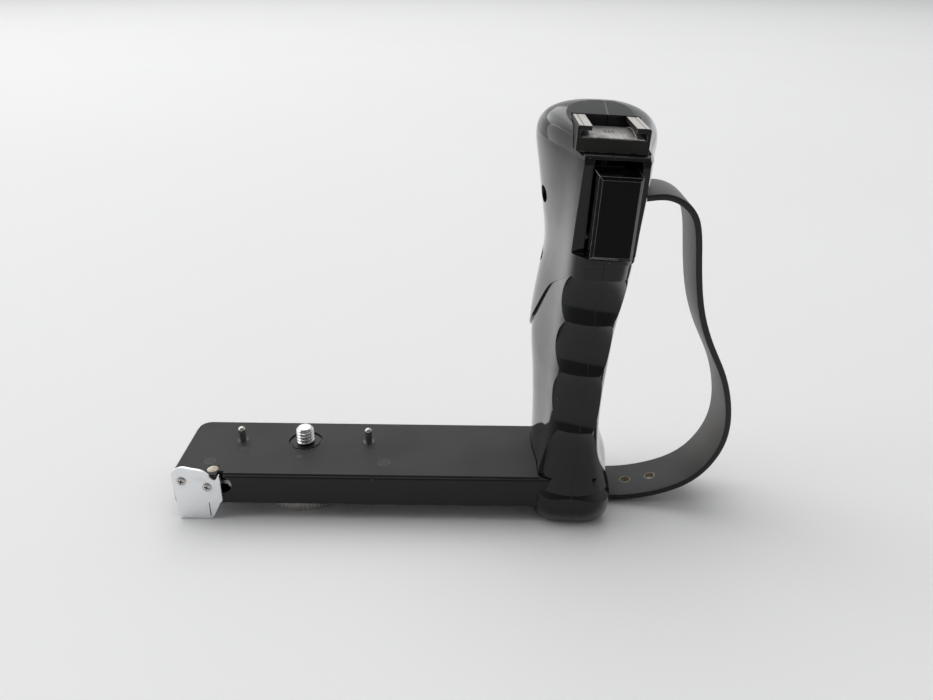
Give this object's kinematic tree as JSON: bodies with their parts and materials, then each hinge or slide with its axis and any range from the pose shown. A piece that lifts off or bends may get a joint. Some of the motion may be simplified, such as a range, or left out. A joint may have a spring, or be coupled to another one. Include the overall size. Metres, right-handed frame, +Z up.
{
  "type": "camera hand grip",
  "caption": "Upright moulded handle with trigger, hand strap and accessory shoe on a flat bar with a camera screw and knurled wheel.",
  "frame": {"origin": "on the camera screw's axis at the face that the camera sits on", "axes": "+X runs along the bar to the handle, +Y points away from the trigger side, +Z is up"},
  "size_m": [0.1921, 0.0472, 0.1377],
  "materials": {
    "bar_paint": "black enamel, half matt",
    "bar_face": "charcoal, matt, a little worn",
    "cover_paint": "black enamel, half matt",
    "steel": "zinc plated",
    "bush_steel": "blackened",
    "screw_steel": "bright, rolled thread",
    "wheel_metal": "satin, straight knurl",
    "pin_steel": "turned, bright dome",
    "end_plate_metal": "fine satin",
    "plate_screw_metal": "cross recess",
    "guide_plastic": "black",
    "release_plastic": "cream",
    "trigger_plastic": "polished black",
    "grip_plastic": "polished black",
    "shoe_metal": "black, half gloss, cast",
    "shoe_leaf": "blackened spring steel",
    "strap_vinyl": "smooth satin vinyl"
  },
  "bodies": {
    "frame": {"bar_channel": "bar_paint", "camera_pad": "bar_face", "bar_cover": "cover_paint", "cover_posts": "steel", "cover_screws": "steel", "screw_bush": "bush_steel", "locating_pins": "pin_steel", "end_plate": "end_plate_metal", "end_plate_screws": "plate_screw_metal", "release_guide": "guide_plastic", "lever_bracket": "steel", "lever_pivot": "steel", "crank_bracket": "steel", "crank_pivot": "steel", "bracket_rivets": "steel", "trigger_pin": "steel", "core_plate": "steel", "core_bolts": "steel", "core_nuts": "steel", "grip_shell_left": "grip_plastic", "grip_shell_right": "grip_plastic", "shell_screws": "steel", "accessory_shoe": "shoe_metal", "shoe_spring": "shoe_leaf", "shoe_screws": "steel", "strap": "strap_vinyl", "strap_pin": "steel", "strap_screw": "steel"},
    "camera_screw": {"camera_screw": "screw_steel", "thumbwheel": "wheel_metal", "retaining_ring": "steel"},
    "trigger": {"trigger": "trigger_plastic", "link_pin": "steel"},
    "trigger_link": {"trigger_link": "steel", "return_spring": "steel"},
    "crank": {"grip_crank": "steel"},
    "rod": {"pull_rod": "steel"},
    "lever": {"end_lever": "steel"},
    "release": {"release_pin": "release_plastic"}
  },
  "joints": [
    {"name": "wheel_spin", "type": "hinge", "parent": "frame", "child": "camera_screw", "pos_m": [0, 0, 0], "axis": [0, 0, 1], "continuous": true},
    {"name": "trigger_pull", "type": "hinge", "parent": "frame", "child": "trigger", "pos_m": [0.09872, -0.0165, 0.08411], "axis": [-0.999, 0, 0.0454], "range_deg": [0, 12], "stiffness_Nm_per_rad": 0.4, "springref_deg": -5.73},
    {"name": "link_slide", "type": "slide", "parent": "frame", "child": "trigger_link", "axis": [-0.0454, 0, -0.999], "range_m": [0, 0.00179], "deforming": ["return_spring"]},
    {"name": "crank_turn", "type": "hinge", "parent": "frame", "child": "crank", "pos_m": [0.08988, -0.0119, -0.0048], "axis": [0, 1, 0], "range_deg": [0, 16.24]},
    {"name": "rod_slide", "type": "slide", "parent": "frame", "child": "rod", "axis": [-1, 0, 0], "range_m": [0, 0.00097]},
    {"name": "lever_turn", "type": "hinge", "parent": "frame", "child": "lever", "pos_m": [-0.0211, -0.0156, -0.0048], "axis": [0, 1, 0], "range_deg": [0, 16.24]},
    {"name": "release_lift", "type": "slide", "parent": "frame", "child": "release", "axis": [0, 0, 1], "range_m": [0, 0.00213]}
  ],
  "couplings": [
    {"joint": "link_slide", "follows": "trigger_pull", "m_per_rad": 0.0085},
    {"joint": "crank_turn", "follows": "trigger_pull", "ratio": 1.3492},
    {"joint": "rod_slide", "follows": "trigger_pull", "m_per_rad": 0.0045873},
    {"joint": "lever_turn", "follows": "trigger_pull", "ratio": 1.3492},
    {"joint": "release_lift", "follows": "trigger_pull", "m_per_rad": 0.010119}
  ]
}
